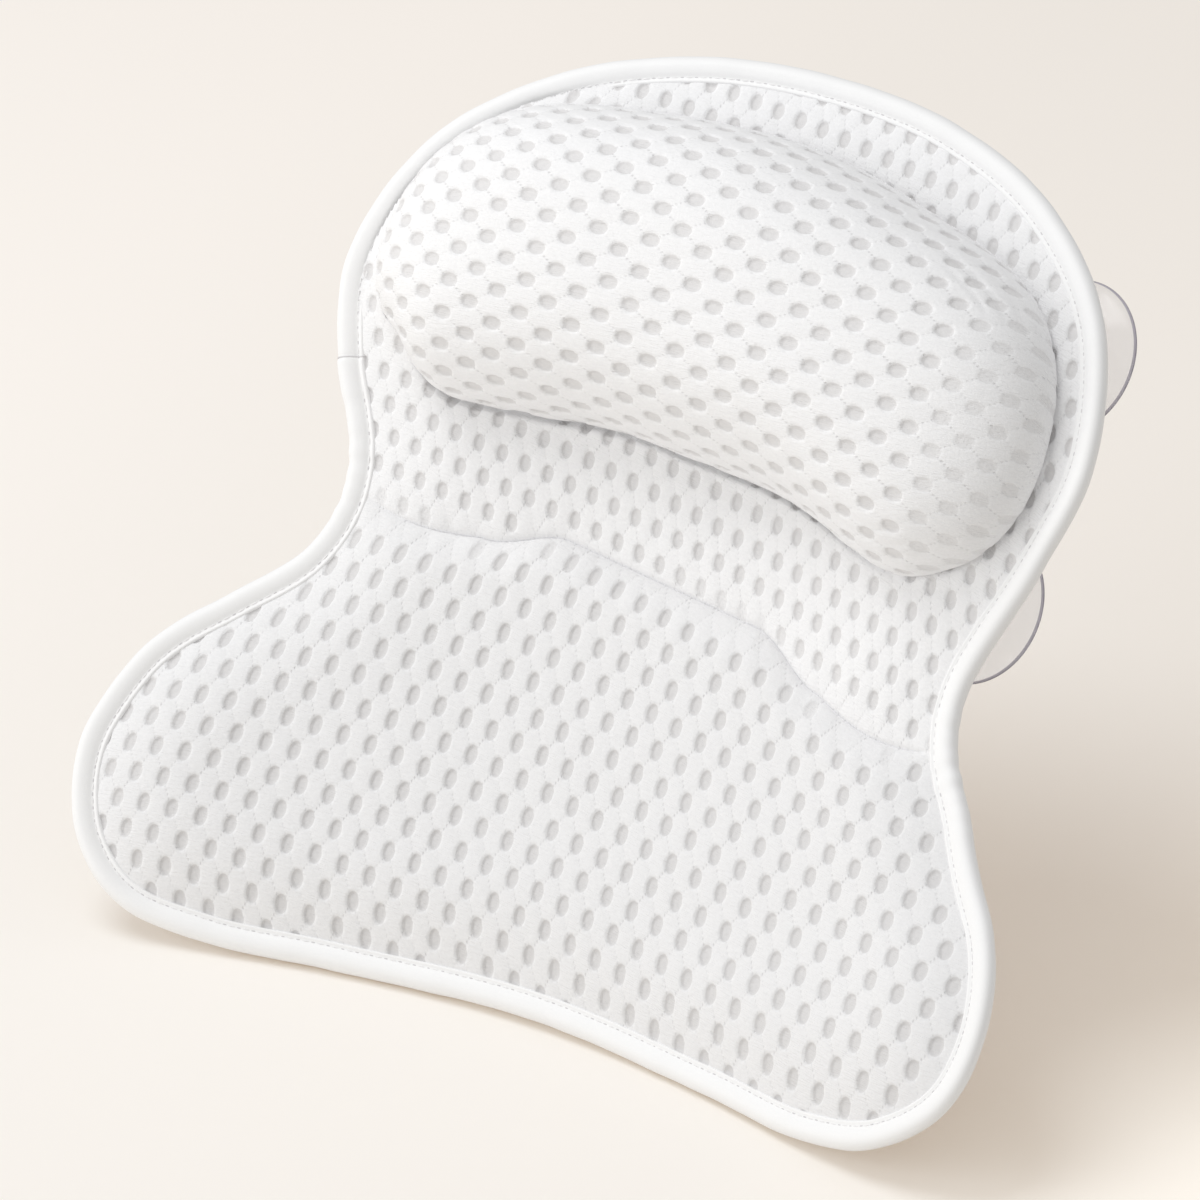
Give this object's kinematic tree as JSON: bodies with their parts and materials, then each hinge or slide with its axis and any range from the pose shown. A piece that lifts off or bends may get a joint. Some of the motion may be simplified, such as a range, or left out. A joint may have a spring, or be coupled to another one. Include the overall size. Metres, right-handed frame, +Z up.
{
  "type": "bath pillow",
  "caption": "Padded air-mesh bath pillow with a kidney-shaped head bolster, a shoulder section that folds at a sewn waist seam, and turning suction cups on its back.",
  "frame": {"origin": "on the bath wall behind the pillow, midway between the rim faces of the two lower suction cups", "axes": "+X to the right seen from the front, -Y towards the bather, +Z up; the pillow leans back 36 degrees as it does on a bath wall"},
  "size_m": [0.3792, 0.2364, 0.29],
  "materials": {
    "air_mesh": "white knitted spacer mesh with rows of oval holes",
    "binding": "smooth satin-white bias tape",
    "fill": "off-white polyester fibre",
    "eyelet": "white moulded plastic",
    "clear_vinyl": "clear flexible vinyl"
  },
  "bodies": {
    "shoulders": {"shoulder_front_mesh": "air_mesh", "shoulder_back_mesh": "air_mesh", "shoulder_padding": "fill", "shoulder_binding": "binding", "eyelet_lower_left": "eyelet", "eyelet_lower_right": "eyelet"},
    "head": {"head_front_mesh": "air_mesh", "head_back_mesh": "air_mesh", "head_padding": "fill", "head_binding": "binding", "bolster_cover": "air_mesh", "bolster_fill": "fill", "eyelet_upper_left": "eyelet", "eyelet_upper_right": "eyelet", "eyelet_middle_left": "eyelet", "eyelet_middle_right": "eyelet"},
    "cup_upper_left": {"suction_cup_upper_left": "clear_vinyl"},
    "cup_upper_right": {"suction_cup_upper_right": "clear_vinyl"},
    "cup_middle_left": {"suction_cup_middle_left": "clear_vinyl"},
    "cup_middle_right": {"suction_cup_middle_right": "clear_vinyl"},
    "cup_lower_left": {"suction_cup_lower_left": "clear_vinyl"},
    "cup_lower_right": {"suction_cup_lower_right": "clear_vinyl"}
  },
  "joints": [
    {"name": "waist_fold", "type": "hinge", "parent": "shoulders", "child": "head", "pos_m": [0, 0.0478, 0.08895], "axis": [-1, 0, 0], "range_deg": [0, 45], "stiffness_Nm_per_rad": 2.5},
    {"name": "cup_upper_left_turn", "type": "hinge", "parent": "head", "child": "cup_upper_left", "pos_m": [-0.10697, 0.1171, 0.19801], "axis": [-0.2197, 0.7893, -0.5734], "continuous": true},
    {"name": "cup_upper_right_turn", "type": "hinge", "parent": "head", "child": "cup_upper_right", "pos_m": [0.10697, 0.1171, 0.19801], "axis": [0.2197, 0.7893, -0.5734], "continuous": true},
    {"name": "cup_middle_left_turn", "type": "hinge", "parent": "head", "child": "cup_middle_left", "pos_m": [-0.103, 0.06258, 0.12148], "axis": [-0.2119, 0.7906, -0.5744], "continuous": true},
    {"name": "cup_middle_right_turn", "type": "hinge", "parent": "head", "child": "cup_middle_right", "pos_m": [0.103, 0.06258, 0.12148], "axis": [0.2119, 0.7906, -0.5744], "continuous": true},
    {"name": "cup_lower_left_turn", "type": "hinge", "parent": "shoulders", "child": "cup_lower_left", "pos_m": [-0.11799, -0.01963, 0.01426], "axis": [-0.2411, 0.7852, -0.5705], "continuous": true},
    {"name": "cup_lower_right_turn", "type": "hinge", "parent": "shoulders", "child": "cup_lower_right", "pos_m": [0.11799, -0.01963, 0.01426], "axis": [0.2411, 0.7852, -0.5705], "continuous": true}
  ]
}
